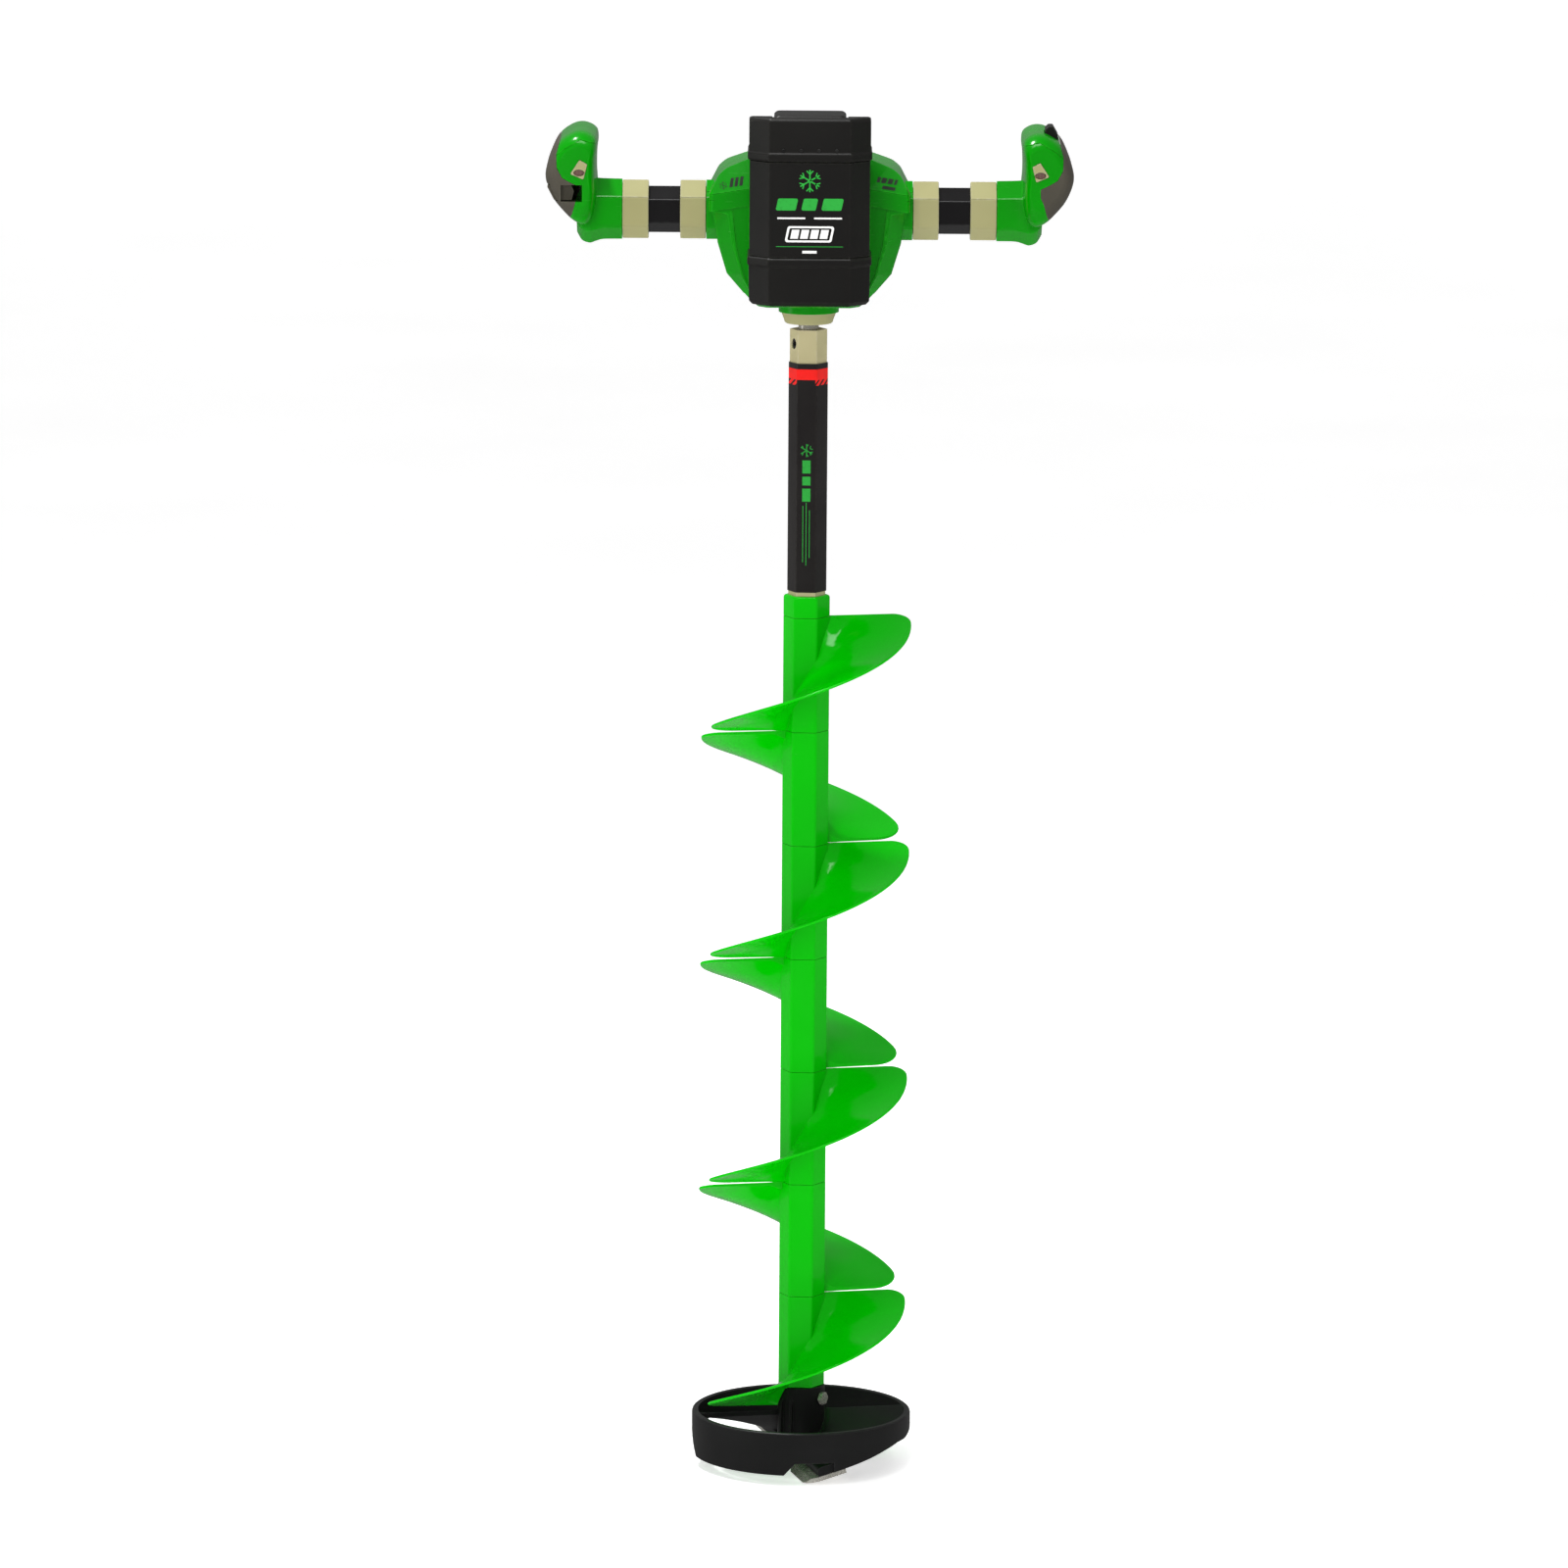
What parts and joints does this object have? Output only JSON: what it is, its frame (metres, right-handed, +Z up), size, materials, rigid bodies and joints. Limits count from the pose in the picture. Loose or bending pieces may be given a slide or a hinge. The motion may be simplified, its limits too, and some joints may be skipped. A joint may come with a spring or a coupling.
{
  "type": "ice fishing auger",
  "caption": "Battery-powered ice auger: helical screw with a ringed cutting head, a compact powerhead and upright side grips.",
  "frame": {"origin": "on the screw's axis, at the height where the cutting edges meet the ice", "axes": "+Z up along the screw's axis towards the powerhead, +X towards the user's right grip seen from the battery side, -Y towards the battery"},
  "size_m": [0.4792, 0.2283, 1.267],
  "materials": {
    "green_plastic": "moulded, semi-gloss",
    "screw_green": "moulded, glossy",
    "cream_plastic": "fine-textured moulded plastic",
    "cream_metal": "satin coated aluminium",
    "black_plastic": "fine-textured moulded plastic",
    "bar_black": "satin black coated tube",
    "wrap_black": "satin black film with an orange-red band",
    "carrier_black": "moulded glass-filled nylon",
    "grip_rubber": "soft matt overmould",
    "bright_steel": "ground and polished",
    "dark_steel": "black oxide",
    "cast_aluminium": "die cast, unpainted",
    "circuit_board": "coated board",
    "cell_wrap": "shrink sleeve",
    "lamp_lens": "clear smoked lens"
  },
  "bodies": {
    "powerhead": {"housing_lower": "green_plastic", "housing_upper": "green_plastic", "nose_ring": "cream_plastic", "battery_mount": "black_plastic", "terminal_block": "black_plastic", "bar_left": "bar_black", "bar_right": "bar_black", "collar_left_inner": "cream_plastic", "collar_left_outer": "cream_plastic", "collar_right_inner": "cream_plastic", "collar_right_outer": "cream_plastic", "handle_left": "green_plastic", "handle_right": "green_plastic", "grip_left": "grip_rubber", "grip_right": "grip_rubber", "lamp_bezel_left": "cream_plastic", "lamp_bezel_right": "cream_plastic", "lamp_lens_left": "lamp_lens", "lamp_lens_right": "lamp_lens", "trigger_pin": "bright_steel", "gearbox_case": "cast_aluminium", "gearbox_cover": "cast_aluminium", "motor_can": "dark_steel", "bearing_lower": "bright_steel", "bearing_upper": "bright_steel", "control_board": "circuit_board"},
    "drill": {"flight_1": "screw_green", "flight_2": "screw_green", "flight_3": "screw_green", "flight_4": "screw_green", "flight_5": "screw_green", "flight_6": "screw_green", "flight_7": "screw_green", "flight_cap": "screw_green", "blade_carrier": "carrier_black", "blade_1": "bright_steel", "blade_2": "bright_steel", "blade_screw_1": "dark_steel", "blade_screw_2": "dark_steel", "blade_screw_3": "dark_steel", "blade_screw_4": "dark_steel", "pilot_point": "bright_steel", "hub_bolt": "bright_steel", "hub_nut": "bright_steel", "drive_tube": "cream_metal", "tube_wrap": "wrap_black", "drive_coupler": "bright_steel", "coupler_bolt": "dark_steel", "output_shaft": "bright_steel", "output_gear": "bright_steel"},
    "counter": {"counter_gear": "bright_steel"},
    "rotor": {"motor_rotor": "bright_steel", "motor_pinion": "bright_steel"},
    "battery": {"battery_case": "black_plastic", "battery_cap_lower": "black_plastic", "battery_cap_upper": "black_plastic", "battery_cells": "cell_wrap"},
    "latch": {"battery_latch": "black_plastic"},
    "trigger": {"trigger": "grip_rubber"},
    "switch": {"direction_switch": "black_plastic"}
  },
  "joints": [
    {"name": "drill_spin", "type": "hinge", "parent": "powerhead", "child": "drill", "pos_m": [0, 0, 1.055], "axis": [0, 0, 1], "continuous": true},
    {"name": "counter_spin", "type": "hinge", "parent": "powerhead", "child": "counter", "pos_m": [0, 0.03, 1.105], "axis": [0, 0, 1], "continuous": true},
    {"name": "rotor_spin", "type": "hinge", "parent": "powerhead", "child": "rotor", "pos_m": [0, 0, 1.125], "axis": [0, 0, 1], "continuous": true},
    {"name": "battery_slide", "type": "slide", "parent": "powerhead", "child": "battery", "axis": [0, 0, 1], "range_m": [0, 0.135]},
    {"name": "latch_press", "type": "slide", "parent": "battery", "child": "latch", "axis": [0, 0, -1], "range_m": [0, 0.0025], "stiffness_N_per_m": 600},
    {"name": "trigger_pull", "type": "hinge", "parent": "powerhead", "child": "trigger", "pos_m": [-0.2195, -0.0075, 1.18875], "axis": [0, 0, 1], "range_deg": [0, 8], "stiffness_Nm_per_rad": 0.5},
    {"name": "switch_rock", "type": "hinge", "parent": "powerhead", "child": "switch", "pos_m": [0.2192, -0.01, 1.2395], "axis": [1, 0, 0], "range_deg": [-7, 7]}
  ],
  "couplings": [
    {"joint": "counter_spin", "follows": "drill_spin", "ratio": -4},
    {"joint": "rotor_spin", "follows": "drill_spin", "ratio": 16}
  ]
}
